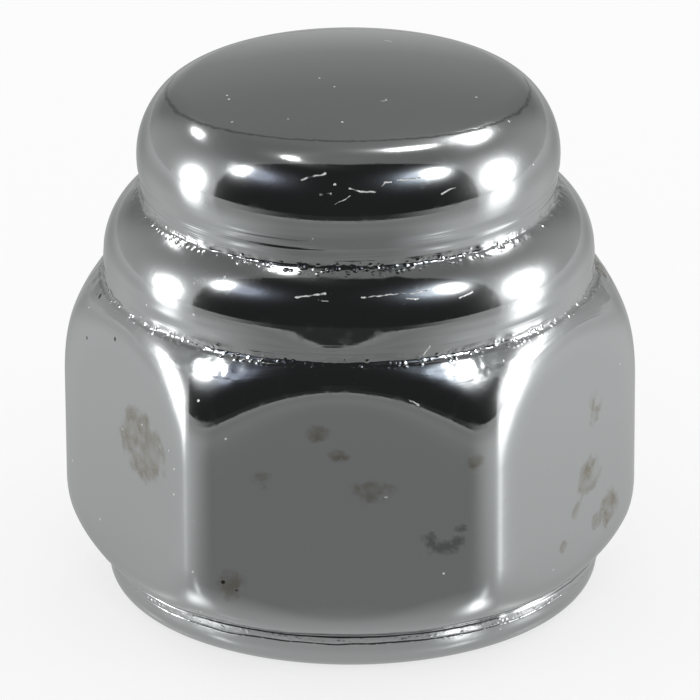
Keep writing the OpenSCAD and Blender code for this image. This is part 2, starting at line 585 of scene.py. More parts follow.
@dataclass
class CapNut:
    """The whole nut as one closed skin."""

    section: Section = field(default_factory=Section)
    hexagon: Hexagon = field(default_factory=Hexagon)
    bore: Bore = field(default_factory=Bore)
    work: Workmanship = field(default_factory=Workmanship)
    columns: int = 384
    crowding: float = 0.55
    bore_columns: int = 96
    over_bore_z: float = 15.0
    merged_mm: float = 1e-4

    def angles(self) -> np.ndarray:
        """Gives the columns' angles, p - crowding sin(6 p) / 6, closest at the edges."""
        p = np.arange(self.columns) * math.tau / self.columns
        return p - self.crowding * np.sin(6 * p) / 6

    def outside(self, angles: np.ndarray) -> np.ndarray:
        """Works out the outer skin.

        Outside the hexagon the radius is the section's. On it, it is the worn joint of
        the bar's plan and the turned section.

        Args:
            angles: Angles of the columns.

        Returns:
            Points in millimetres as rows x columns x 3.
        """
        radius, height = [], []
        for name, points in self.section.rows():
            r = np.broadcast_to(points[:, :1], (len(points), len(angles)))
            z = np.broadcast_to(points[:, 1:], r.shape)
            a = np.broadcast_to(angles, r.shape)
            if name is Stretch.HEXAGON:
                r = soft_min(self.hexagon.radius(a), r, self.hexagon.worn_width)
            if name is not Stretch.SEAT:
                r = r + self.work.relief(name, a, z)
                z = z + self.work.ledge(a, z, self.section)
            radius.append(r)
            height.append(z)
        radius, height = np.vstack(radius), np.vstack(height)
        # The foot was turned in another chucking and stands a little to one side
        foot = smooth_step(radius, self.bore.mouth_r, self.section.foot_r - 1)
        foot = foot * (height < self.section.band_z - 1e-6)
        x = radius * np.cos(angles) + self.work.foot_shift * foot
        return np.stack([x, radius * np.sin(angles), height], axis=-1)

    def build(self) -> bpy.types.Object:
        """Builds the skin as one closed mesh.

        Returns:
            The nut's object.
        """
        angles = self.angles()
        outer = self.outside(angles)
        rows, columns = outer.shape[:2]
        share = columns // self.bore_columns
        bore = self.bore.grid(np.append(angles[::share], math.tau))
        bore_rows, bore_columns = bore.shape[:2]
        top, middle = (rows - 1) * columns, rows * columns
        first_bore = middle + 1
        crown = [[0, 0, sum(self.section.crown())]]
        points = np.vstack([outer.reshape(-1, 3), crown, bore.reshape(-1, 3)])
        j = np.arange(columns)
        cap = [top + j, top + (j + 1) % columns, np.full(columns, middle)]
        # The seat's inner ring has share times as many points as the mouth of the bore:
        # each piece of the mouth is joined to share pieces of the ring by a fan
        k = j // share
        near = first_bore + np.where(j % share < share / 2, k, k + 1)
        fan = [(j + 1) % columns, j, near]
        k = np.arange(self.bore_columns)
        between = [(k * share + share // 2) % columns, first_bore + k, first_bore + k + 1]
        walls = grid_faces(bore_rows, bore_columns, first_bore, closed=False)
        faces = grid_faces(rows, columns).tolist()
        for triangles in (cap, fan, between):
            faces += np.stack(triangles, axis=-1).tolist()
        faces += walls[:, ::-1].tolist()
        mesh = bpy.data.meshes.new("cap_nut_skin")
        mesh.from_pydata((points * MM).tolist(), [], faces)
        # The bore's first and last column stand at the same place, and so do the points
        # of rows that are cut off level
        whole = bmesh.new()
        whole.from_mesh(mesh)
        bmesh.ops.remove_doubles(whole, verts=whole.verts, dist=self.merged_mm * MM)
        bmesh.ops.recalc_face_normals(whole, faces=whole.faces)
        whole.to_mesh(mesh)
        whole.free()
        mesh.validate()
        skin = bpy.data.objects.new("cap_nut_skin", mesh)
        bpy.context.scene.collection.objects.link(skin)
        return skin

    def dress(self, skin: bpy.types.Object) -> None:
        """Gives the skin its finishes, plated outside and bare in the bore.

        The attribute "soiled" carries where stains lie, from 1 in the middle of a stain
        to 0 at its reach, for the finish to break up.

        Args:
            skin: The nut's object.
        """
        mesh = skin.data
        for finish in (BuffedChrome(), TappedSteel()):
            mesh.materials.append(finish.material())
        count = len(mesh.polygons)
        centres = np.empty(count * 3)
        mesh.polygons.foreach_get("center", centres)
        x, y, z = centres.reshape(-1, 3).T / MM
        inside = (np.hypot(x, y) < self.bore.mouth_r) & (z < self.over_bore_z)
        mesh.polygons.foreach_set("material_index", inside.astype(np.int32))
        mesh.polygons.foreach_set("use_smooth", np.ones(count, dtype=bool))
        points = np.empty(len(mesh.vertices) * 3)
        mesh.vertices.foreach_get("co", points)
        points = points.reshape(-1, 3) / MM
        layer = mesh.attributes.new("soiled", "FLOAT", "POINT")
        soiled = np.max([stain.cover(points) for stain in STAINS], axis=0)
        layer.data.foreach_set("value", soiled)


@dataclass(frozen=True)
class Spot:
    """A point of the plate, in millimetres, and the noise that its marks share."""

    tree: bpy.types.NodeTree
    place: bpy.types.Node
    x: bpy.types.NodeSocket
    z: bpy.types.NodeSocket
    radius: bpy.types.NodeSocket
    haze: bpy.types.NodeSocket
    fine: bpy.types.NodeSocket


@dataclass(frozen=True)
class Stain:
    """A ragged dull stain: its middle, its reach along x, y and z, in millimetres."""

    middle: tuple[float, float, float]
    reach: tuple[float, float, float]
    strength: float = 1.0

    def cover(self, points: np.ndarray) -> np.ndarray:
        """Gives strength (1 - distance from the middle over the reach), but 0 outside."""
        off = (points - np.array(self.middle)) / np.array(self.reach)
        return self.strength * np.clip(1 - np.linalg.norm(off, axis=-1), 0, 1)


@dataclass(frozen=True)
class Scratch:
    """A fine scratch or smear from start to end, in millimetres.

    Its side is ragged by up to the width times ragged, and fades out from the width to
    the width times fade.
    """

    start: tuple[float, float, float]
    end: tuple[float, float, float]
    width: float
    ragged: float = 1.6
    fade: float = 1.8

    def share(self, spot: Spot, crooked: bpy.types.Node) -> bpy.types.Node:
        """Works out how far a point lies in it, from the distance to its line.

        Args:
            spot: The point, whose fine noise makes the side ragged.
            crooked: Its place, which noise has made crooked.

        Returns:
            A node that gives 1 inside and 0 outside.
        """
        tree = spot.tree
        start, end = np.array(self.start), np.array(self.end)
        length = float(np.linalg.norm(end - start))
        way = tuple((end - start) / length)
        from_start = {0: crooked, 1: self.start}
        off = add_node(tree, "VectorMath", from_start, operation="SUBTRACT")
        along = add_node(tree, "VectorMath", {0: off, 1: way}, operation="DOT_PRODUCT")
        along = add_node(tree, "Clamp", {0: along, "Min": 0.0, "Max": length})
        near = add_node(tree, "VectorMath", {0: way, "Scale": along}, operation="SCALE")
        off = add_node(tree, "VectorMath", {0: off, 1: near}, operation="DISTANCE")
        off = {0: spot.fine, 1: self.width * self.ragged, 2: off}
        off = add_node(tree, "Math", off, operation="MULTIPLY_ADD")
        side = span((self.width * self.fade, self.width))
        return add_node(tree, "MapRange", {0: off, **side})


@dataclass(frozen=True)
class Pit:
    """A pit in the plate: its middle and its reach, in millimetres."""

    middle: tuple[float, float, float]
    reach: float
    whole: float = 0.4

    def share(self, spot: Spot) -> bpy.types.Node:
        """Gives 1 as far out as whole times the reach, and 0 beyond the reach.

        Args:
            spot: The point of the plate.

        Returns:
            A node that gives the share.
        """
        off = {0: spot.place, 1: self.middle}
        off = add_node(spot.tree, "VectorMath", off, operation="DISTANCE")
        side = {0: off, **span((self.reach, self.reach * self.whole))}
        return add_node(spot.tree, "MapRange", side, interpolation_type="SMOOTHSTEP")


STAINS = (
    Stain((-6.55, -5.6, 6.9), (1.8, 2.9, 1.9), 1.4),
    Stain((-0.8, -8.5, 8.6), (0.9, 0.6, 0.6), 1.0),
    Stain((-0.1, -8.5, 7.9), (0.8, 0.6, 0.6), 0.85),
    Stain((0.9, -8.5, 6.6), (1.5, 0.6, 0.8), 0.95),
    Stain((-2.6, -8.5, 7.0), (0.9, 0.6, 0.8), 0.75),
    Stain((-3.6, -8.4, 3.2), (0.9, 0.6, 1.1), 1.0),
    Stain((8.0, -3.2, 4.9), (0.9, 1.5, 1.1), 1.2),
    Stain((8.6, -2.1, 3.3), (0.9, 1.3, 1.1), 1.1),
    Stain((8.21, -2.78, 3.1), (0.4, 0.5, 0.45), 1.6),
    Stain((4.3, -8.4, 7.6), (0.8, 0.6, 0.7), 0.85),
    Stain((7.6, -4.0, 3.9), (0.3, 0.5, 0.45), 1.6),
    Stain((7.14, -4.63, 2.97), (0.25, 0.35, 0.3), 2.0),
    Stain((8.1, -2.9, 7.2), (0.9, 1.4, 1.6), 0.66),
    Stain((8.35, 0.5, 10.75), (0.5, 0.9, 0.4), 1.6),
    Stain((-4.6, 7.1, 4.2), (1.8, 1.2, 1.2), 1.1),
    Stain((2.5, 8.5, 7.6), (1.2, 0.6, 0.9), 1.0),
    Stain((7.4, 4.3, 5.6), (0.8, 1.4, 1.0), 1.0),
)
SCRATCHES = (
    Scratch((-1.27, -6.38, 16.57), (-0.9, -6.36, 16.68), 0.045),
    Scratch((-0.9, -6.36, 16.68), (-0.54, -6.32, 16.79), 0.04),
    Scratch((0.27, -6.6, 16.36), (0.62, -6.64, 16.26), 0.036),
    Scratch((0.62, -6.64, 16.26), (1.07, -6.6, 16.24), 0.04),
    Scratch((1.07, -6.6, 16.24), (1.39, -6.39, 16.5), 0.04),
    Scratch((1.39, -6.39, 16.5), (1.95, -6.24, 16.53), 0.036),
    Scratch((1.95, -6.24, 16.53), (2.5, -6.04, 16.54), 0.03),
    Scratch((-0.2, -6.83, 15.9), (0.28, -6.73, 16.17), 0.015),
    Scratch((0.67, -7.62, 13.04), (1.25, -7.53, 13.05), 0.033),
    Scratch((1.25, -7.53, 13.05), (1.85, -7.39, 13.06), 0.033),
    Scratch((1.85, -7.39, 13.06), (2.45, -7.22, 13.06), 0.03),
    Scratch((2.45, -7.22, 13.06), (3.0, -7.0, 13.06), 0.026),
    Scratch((-1.43, -7.53, 13.0), (-0.95, -7.57, 13.07), 0.043),
    Scratch((-0.95, -7.57, 13.07), (-0.5, -7.56, 13.13), 0.043),
    Scratch((-0.73, -7.69, 12.93), (-0.39, -7.71, 12.93), 0.04),
    Scratch((-0.66, -6.66, 16.2), (-0.34, -6.68, 16.25), 0.043),
    Scratch((3.21, -6.0, 16.0), (3.67, -5.7, 16.07), 0.033),
    Scratch((3.8, -6.85, 12.74), (4.2, -6.58, 12.8), 0.036),
    Scratch((2.1, -7.43, 12.93), (2.45, -7.35, 12.87), 0.036),
    Scratch((0.95, -2.5, 17.78), (1.4, -2.33, 17.77), 0.018),
    Scratch((1.4, -2.33, 17.77), (1.05, -2.05, 17.79), 0.018),
    Scratch((1.0, 3.5, 17.65), (1.35, 3.3, 17.66), 0.036),
    Scratch((2.65, -7.65, 11.05), (2.85, -7.58, 11.3), 0.043),
    Scratch((2.2, -8.46, 9.78), (2.5, -8.42, 9.62), 0.036),
    Scratch((1.43, -8.5, 6.42), (1.46, -8.5, 6.42), 0.05),
)
PITS = (
    Pit((-8.12, -2.01, 10.69), 0.13),
    Pit((-8.2, -1.7, 10.6), 0.08),
    Pit((-7.53, -3.9, 9.95), 0.1),
    Pit((-8.57, -2.1, 9.23), 0.08),
    Pit((-3.86, -8.45, 3.33), 0.1),
    Pit((-3.42, -8.45, 3.06), 0.07),
    Pit((8.45, 0.35, 10.55), 0.09),
)
SMEARS = (
    Scratch((2.86, -8.5, 4.9), (3.02, -8.5, 4.68), 0.32),
    Scratch((3.02, -8.5, 4.68), (3.6, -8.5, 4.66), 0.32),
    Scratch((3.6, -8.5, 4.66), (3.78, -8.5, 4.86), 0.3),
    Scratch((3.8, -8.5, 5.3), (3.96, -8.5, 5.33), 0.16),
)


@dataclass(frozen=True)
class Crease:
    """A crease that the wheel missed, with fine relief in millimetres.

    The tool's marks, of the depth turned, reach below and above it and fade out beyond.
    Beads of plate, of the height beaded, lie along it within bead_reach.
    """

    z: float
    below: float
    above: float
    turned: float
    beaded: float
    fade_below: float = 0.2
    fade_above: float = 0.4
    bead_reach: tuple[float, float] = (0.22, 0.04)

    def marks(
        self, spot: Spot, lathe: bpy.types.Node, beads: bpy.types.Node
    ) -> tuple[bpy.types.Node, bpy.types.Node, bpy.types.Node]:
        """Works out what the crease leaves on the plate.

        Args:
            spot: The point of the plate.
            lathe: The turning tool's marks.
            beads: The beads of plate.

        Returns:
            Nodes for the tool's marks and the beads, where they show, and for how near
            the crease is, from 0 to 1.
        """
        tree = spot.tree
        above = add_node(tree, "Math", {0: spot.z, 1: self.z}, operation="SUBTRACT")
        high = {0: above, **span((self.above + self.fade_above, self.above))}
        high = add_node(tree, "MapRange", high, interpolation_type="SMOOTHSTEP")
        low = {0: above, **span((-self.below - self.fade_below, -self.below))}
        low = add_node(tree, "MapRange", low, interpolation_type="SMOOTHSTEP")
        turned = add_node(tree, "Math", {0: high, 1: lathe}, operation="MULTIPLY")
        turned = add_node(tree, "Math", {0: turned, 1: low}, operation="MULTIPLY")
        off = add_node(tree, "Math", {0: above}, operation="ABSOLUTE")
        near = {0: off, **span(self.bead_reach)}
        near = add_node(tree, "MapRange", near, interpolation_type="SMOOTHSTEP")
        beaded = add_node(tree, "Math", {0: beads, 1: near}, operation="MULTIPLY")
        return turned, beaded, near


CREASES = (
    Crease(1.09, 0.0, 0.6, 0.005, 0.018),
    Crease(10.911, 0.65, 0.3, 0.016, 0.026),
    Crease(13.742, 0.0, 0.75, 0.017, 0.026),
)


@dataclass(frozen=True)
class BuffedChrome:
    """Decorative chromium over nickel on buffed steel.

    A cool, bright mirror. Faint blotches of haze spread the highlights, and fine
    pitting, scratches, dull stains and the ground edge of the crown break it up.
    Depths and reaches are in millimetres, and a pair of levels says where on the scale
    of a noise, or of a distance, a mark starts and where it is whole.
    """

    name: str = "buffed_chrome_plate"
    colour: str = "#c2c5c5"
    stained: str = "#999589"
    # The dirt of the smears, also used as painted shade along the crown's line and to
    # darken the pits
    dirt_and_shade: str = "#45423d"
    # Near-white of the torn plate in scratches and fine pits: a painted glint
    torn: str = "#e4e4e2"
    clean_roughness: float = 0.05
    hazed_roughness: float = 0.13
    creased_roughness: float = 0.03
    torn_roughness: float = 0.5
    stained_roughness: float = 0.18
    torn_glint_metallic: float = 0.2
    haze_mm: float = 0.5
    haze_levels: tuple[float, float] = (0.46, 0.7)
    fine_per_mm: float = 7.0
    wave_depth: float = 0.0012
    lathe_round_per_mm: float = 0.12
    lathe_feed_per_mm: float = 8.0
    seat_z: tuple[float, float] = (0.05, 0.02)
    seat_depth: float = 0.004
    bead_mm: float = 0.2
    bead_levels: tuple[float, float] = (0.55, 0.0)
    patch_levels: tuple[float, float] = (0.35, 0.6)
    patch_least: float = 0.2
    crown_line_r: float = 5.2
    crown_line_nearer: float = 0.84
    crown_line_waver: float = 0.18
    crown_line_reach: tuple[float, float] = (0.09, 0.01)
    # How dark the crown's line is painted, as painted shade
    crown_line_shade: float = 0.9
    crown_z: tuple[float, float] = (17.0, 17.1)
    pit_mm: float = 0.9
    pit_levels: tuple[float, float] = (0.06, 0.02)
    pit_share: float = 0.5
    mark_depth: float = 0.006
    torn_depth: float = 0.03
    crooked_per_mm: float = 2.2
    crooked_mm: float = 0.16
    smear_share: float = 0.5
    ragged_per_mm: float = 1.7
    soiled_levels: tuple[float, float] = (0.19, 0.34)
    mottled_levels: tuple[float, float] = (0.3, 0.7)
    mottled_least: float = 0.15

    def spot(self, tree: bpy.types.NodeTree) -> Spot:
        """Adds the nodes that every mark starts from.

        Args:
            tree: The material's tree.

        Returns:
            The point of the plate and its noise.
        """
        coords = add_node(tree, "TexCoord").outputs["Object"]
        place = {0: coords, "Scale": 1 / MM}
        place = add_node(tree, "VectorMath", place, operation="SCALE")
        parts = add_node(tree, "SeparateXYZ", {0: place})
        haze = {"Vector": place, "Scale": 1 / self.haze_mm, "Detail": 4.0}
        haze = add_node(tree, "TexNoise", haze)
        fine = {"Vector": place, "Scale": self.fine_per_mm, "Detail": 3.0}
        fine = add_node(tree, "TexNoise", fine)
        flat = add_node(tree, "VectorMath", {0: place, 1: (1, 1, 0)}, operation="MULTIPLY")
        radius = add_node(tree, "VectorMath", {0: flat}, operation="LENGTH")
        return Spot(
            tree,
            place,
            parts.outputs["X"],
            parts.outputs["Z"],
            radius.outputs["Value"],
            haze.outputs["Fac"],
            fine.outputs["Fac"],
        )

    def lathe_marks(self, spot: Spot) -> bpy.types.Node:
        """Draws the turning tool's marks: noise drawn out round the axis.

        Args:
            spot: The point of the plate.

        Returns:
            A node that gives their height, from -0.5 to 0.5.
        """
        tree, drawn = spot.tree, self.lathe_round_per_mm
        feed = add_node(tree, "Math", {0: spot.z, 1: spot.radius}, operation="ADD")
        feed = add_node(tree, "CombineXYZ", {"Z": feed})
        around = {0: spot.place, 1: (drawn, drawn, 0.0)}
        around = add_node(tree, "VectorMath", around, operation="MULTIPLY")
        marks = {0: feed, 1: (0.0, 0.0, self.lathe_feed_per_mm), 2: around}
        marks = add_node(tree, "VectorMath", marks, operation="MULTIPLY_ADD")
        marks = add_node(tree, "TexNoise", {"Vector": marks, "Scale": 1.0, "Detail": 2.0})
        return add_node(tree, "Math", {0: marks, 1: 0.5}, operation="SUBTRACT")

    def beads(self, spot: Spot) -> bpy.types.Node:
        """Draws round beads of plate about as wide as bead_mm.

        Args:
            spot: The point of the plate.

        Returns:
            A node that gives their height, from 0 to 1.
        """
        net = {"Vector": spot.place, "Scale": 1 / self.bead_mm}
        net = add_node(spot.tree, "TexVoronoi", net).outputs["Distance"]
        bead = {0: net, **span(self.bead_levels)}
        return add_node(spot.tree, "MapRange", bead, interpolation_type="SMOOTHSTEP")

    def crown_line(self, spot: Spot) -> bpy.types.Node:
        """Gives the crown's ground edge, a fine line painted dark, as painted shade in its
        groove.

        It stands crown_line_r from the axis, and crown_line_nearer further out at the
        sides than in front and behind. Noise makes it waver.

        Args:
            spot: The point of the plate.

        Returns:
            A node that gives how dark the line is painted.
        """
        tree = spot.tree
        side = add_node(tree, "Math", {0: spot.x, 1: spot.radius}, operation="DIVIDE")
        side = add_node(tree, "Math", {0: side, 1: 2.0}, operation="POWER")
        off = {0: side, 1: -self.crown_line_nearer, 2: spot.radius}
        off = add_node(tree, "Math", off, operation="MULTIPLY_ADD")
        off = {0: spot.haze, 1: self.crown_line_waver, 2: off}
        off = add_node(tree, "Math", off, operation="MULTIPLY_ADD")
        off = add_node(tree, "Math", {0: off, 1: self.crown_line_r}, operation="SUBTRACT")
        off = add_node(tree, "Math", {0: off}, operation="ABSOLUTE")
        on_crown = add_node(tree, "MapRange", {0: spot.z, **span(self.crown_z)})
        line = {0: off, **span(self.crown_line_reach), "To Max": self.crown_line_shade}
        line = add_node(tree, "MapRange", line, interpolation_type="SMOOTHSTEP")
        line = add_node(tree, "Math", {0: line, 1: on_crown}, operation="MULTIPLY")
        return add_node(tree, "Math", {0: line, 1: spot.fine}, operation="MULTIPLY")

    def fine_pits(self, spot: Spot) -> bpy.types.Node:
        """Draws fine pitting, in a share of the cells of a net.

        Args:
            spot: The point of the plate.

        Returns:
            A node that gives 1 in a pit and 0 outside.
        """
        tree = spot.tree
        net = {"Vector": spot.place, "Scale": 1 / self.pit_mm}
        net = add_node(tree, "TexVoronoi", net)
        pit = {0: net.outputs["Distance"], **span(self.pit_levels)}
        pit = add_node(tree, "MapRange", pit)
        chosen = add_node(tree, "SeparateColor", {0: net.outputs["Color"]})
        chosen = {0: chosen.outputs["Red"], 1: self.pit_share}
        chosen = add_node(tree, "Math", chosen, operation="GREATER_THAN")
        return add_node(tree, "Math", {0: pit, 1: chosen}, operation="MULTIPLY")

    def crooked(self, spot: Spot) -> bpy.types.Node:
        """Moves the spot by noise, by up to half of crooked_mm, to make lines crooked.

        Args:
            spot: The point of the plate.

        Returns:
            A node that gives the moved place.
        """
        tree, reach = spot.tree, (self.crooked_mm,) * 3
        noise = {"Vector": spot.place, "Scale": self.crooked_per_mm, "Detail": 2.0}
        noise = add_node(tree, "TexNoise", noise).outputs["Color"]
        moved = {0: noise, 1: reach, 2: spot.place}
        moved = add_node(tree, "VectorMath", moved, operation="MULTIPLY_ADD")
        middle = {0: moved, 1: tuple(r / 2 for r in reach)}
        return add_node(tree, "VectorMath", middle, operation="SUBTRACT")

    def stains(self, spot: Spot) -> bpy.types.Node:
        """Works out how stained the spot is: the soiled attribute, broken up by noise.

        Args:
            spot: The point of the plate.

        Returns:
            A node that gives the stain's share, from 0 to 1.
        """
        tree = spot.tree
        ragged = {"Vector": spot.place, "Scale": self.ragged_per_mm, "Detail": 6.0}
        ragged = add_node(tree, "TexNoise", {**ragged, "Roughness": 0.65})
        soiled = add_node(tree, "Attribute", attribute_name="soiled").outputs["Fac"]
        soiled = add_node(tree, "Math", {0: soiled, 1: ragged}, operation="MULTIPLY")
        soiled = {0: soiled, **span(self.soiled_levels)}
        soiled = add_node(tree, "MapRange", soiled, interpolation_type="SMOOTHSTEP")
        mottled = {0: spot.haze, **span(self.mottled_levels)}
        mottled = add_node(tree, "MapRange", {**mottled, "To Min": self.mottled_least})
        return add_node(tree, "Math", {0: soiled, 1: mottled}, operation="MULTIPLY")

    def material(self) -> bpy.types.Material:
        """Builds the material, with heights for the bump in millimetres.

        Every mark adds its share times a depth to the height, its share times a
        dullness to the roughness, or its share of another colour.

        Returns:
            The material.
        """
        made, tree = new_material(self.name)
        spot = self.spot(tree)
        # Haze: blotches about as wide as haze_mm, where the mirror is a little dull
        hazed = {0: spot.haze, **span(self.haze_levels)}
        hazed = add_node(tree, "MapRange", hazed, interpolation_type="SMOOTHSTEP")
        # Waves that the wheel left, and the same haze as fine relief
        waves = add_node(tree, "Math", {0: spot.fine, 1: hazed}, operation="MULTIPLY")
        # The seat as it was turned
        lathe = self.lathe_marks(spot)
        seat = {0: spot.z, **span(self.seat_z), "To Max": self.seat_depth}
        reliefs = [(add_node(tree, "MapRange", seat), lathe)]
        # Creases that the wheel missed: rough, with beads of plate in patches, and above
        # each the marks of the turning tool
        beads = self.beads(spot)
        patches = {0: spot.haze, **span(self.patch_levels), "To Min": self.patch_least}
        patches = add_node(tree, "MapRange", patches)
        patchy = add_node(tree, "Math", {0: beads, 1: patches}, operation="MULTIPLY")
        dulled = []
        for crease in CREASES:
            turned, beaded, near = crease.marks(spot, lathe, patchy)
            reliefs += [(turned, crease.turned), (beaded, crease.beaded)]
            dulled += [(near, self.creased_roughness)]
        # The crown's line is painted dark, painted shade in its groove, the pits are
        # darkened, and smears take some of the shine
        darkened = self.crown_line(spot)
        for pit in PITS:
            darkened = {0: darkened, 1: pit.share(spot)}
            darkened = add_node(tree, "Math", darkened, operation="MAXIMUM")
        reliefs += [(darkened, -self.mark_depth)]
        crooked, smeared = self.crooked(spot), 0.0
        for smear in SMEARS:
            smeared = {0: smeared, 1: smear.share(spot, crooked)}
            smeared = add_node(tree, "Math", smeared, operation="MAXIMUM")
        darkened = {0: smeared, 1: self.smear_share, 2: darkened}
        darkened = add_node(tree, "Math", darkened, operation="MULTIPLY_ADD")
        # Scratches and fine pits lay the torn plate bare, which scatters light; their
        # near-white colour is a painted glint
        cuts_and_glint = self.fine_pits(spot)
        for scratch in SCRATCHES:
            cuts_and_glint = {0: cuts_and_glint, 1: scratch.share(spot, crooked)}
            cuts_and_glint = add_node(tree, "Math", cuts_and_glint, operation="MAXIMUM")
        torn = add_node(tree, "Math", {0: cuts_and_glint, 1: beads}, operation="MULTIPLY")
        reliefs += [(torn, -self.torn_depth)]
        # Stains dull and brown the plate
        soiled = self.stains(spot)
        dulled += [(cuts_and_glint, self.torn_roughness), (soiled, self.stained_roughness)]
        height = {0: waves, 1: self.wave_depth}
        height = add_node(tree, "Math", height, operation="MULTIPLY")
        for share, depth in reliefs:
            height = {0: share, 1: depth, 2: height}
            height = add_node(tree, "Math", height, operation="MULTIPLY_ADD")
        rough = {0: hazed, 2: self.clean_roughness, 3: self.hazed_roughness}
        rough = add_node(tree, "Mix", rough, data_type="FLOAT")
        for share, dull in dulled:
            rough = {0: share, 1: dull, 2: rough}
            rough = add_node(tree, "Math", rough, operation="MULTIPLY_ADD")
        colour = linear(self.colour)
        # The dark colour paints shade along the crown's line and darkens the pits, as well
        # as the smears
        for share, over in (
            (soiled, self.stained),
            (darkened, self.dirt_and_shade),
            # Painted glint: scratches and fine pits turn near-white
            (cuts_and_glint, self.torn),
        ):
            colour = {0: share, 6: colour, 7: linear(over)}
            colour = add_node(tree, "Mix", colour, data_type="RGBA")
        metallic = {0: cuts_and_glint, "To Min": 1.0, "To Max": self.torn_glint_metallic}
        bump = {"Height": height, "Distance": MM, "Strength": 1.0}
        plate = {
            "Base Color": colour,
            "Metallic": add_node(tree, "MapRange", metallic),
            "Roughness": rough,
            "Normal": add_node(tree, "Bump", bump),
        }
        shader = add_node(tree, "BsdfPrincipled", plate)
        add_node(tree, "OutputMaterial", {"Surface": shader})
        return made


@dataclass(frozen=True)
class TappedSteel:
    """Bare steel of the tapped hole, which the plating hardly reaches.

    Duller and warmer than the plate, with the fine tears that a tap leaves.
    """

    name: str = "tapped_steel"
    colour: str = "#8f8d89"
    worn: str = "#6d6963"
    roughness: float = 0.32
    tear_mm: float = 0.12
    tear_depth: float = 0.008

    def material(self) -> bpy.types.Material:
        """Builds the material, with heights for the bump in millimetres.

        Returns:
            The material.
        """
        made, tree = new_material(self.name)
        coords = add_node(tree, "TexCoord").outputs["Object"]
        place = {0: coords, "Scale": 1 / MM}
        place = add_node(tree, "VectorMath", place, operation="SCALE")
        tears = {"Vector": place, "Scale": 1 / self.tear_mm, "Detail": 4.0}
        tears = add_node(tree, "TexNoise", tears)
        colour = {0: tears, 6: linear(self.colour), 7: linear(self.worn)}
        height = {0: tears, 1: self.tear_depth}
        height = add_node(tree, "Math", height, operation="MULTIPLY")
        bump = {"Height": height, "Distance": MM, "Strength": 1.0}
        steel = {
            "Base Color": add_node(tree, "Mix", colour, data_type="RGBA"),
            "Metallic": 1.0,
            "Roughness": self.roughness,
            "Normal": add_node(tree, "Bump", bump),
        }
        shader = add_node(tree, "BsdfPrincipled", steel)
        add_node(tree, "OutputMaterial", {"Surface": shader})
        return made


@dataclass(frozen=True)
class Lamp:
    """A soft lamp in the wall of the light tent, in degrees as seen from the nut.

    azimuth is measured to the right of the camera's direction. Its face has fallen to
    half its strength at width to either side and at height above and below, and its
    glow on the cloth, of the strength glow at the face's edge, carries as far as halo.
    """

    azimuth: float
    elevation: float
    width: float
    height: float
    strength: float
    glow: float
    halo: float
    colour: tuple[float, float, float] = (1.0, 1.0, 1.0)

    def radiance(self, azimuth: np.ndarray, elevation: np.ndarray) -> np.ndarray:
        """Gives the lamp's light by direction.

        With o the distance from the middle over the face's size, the face gives
        strength / (1 + o^6) and the glow gives glow exp(-(o - 1) size / halo).

        Args:
            azimuth: Azimuths in degrees.
            elevation: Elevations in degrees, of the same shape.

        Returns:
            Radiance with red, green and blue on a last axis.
        """
        turn = (azimuth - self.azimuth + 180) % 360 - 180
        across = turn * math.cos(math.radians(self.elevation)) / self.width
        up = (elevation - self.elevation) / self.height
        off = np.hypot(across, up)
        size = math.sqrt(self.width * self.height)
        light = self.strength / (1 + off**6)
        light = light + self.glow * np.exp(-np.maximum(off - 1, 0) * size / self.halo)
        return light[..., None] * np.array(self.colour)


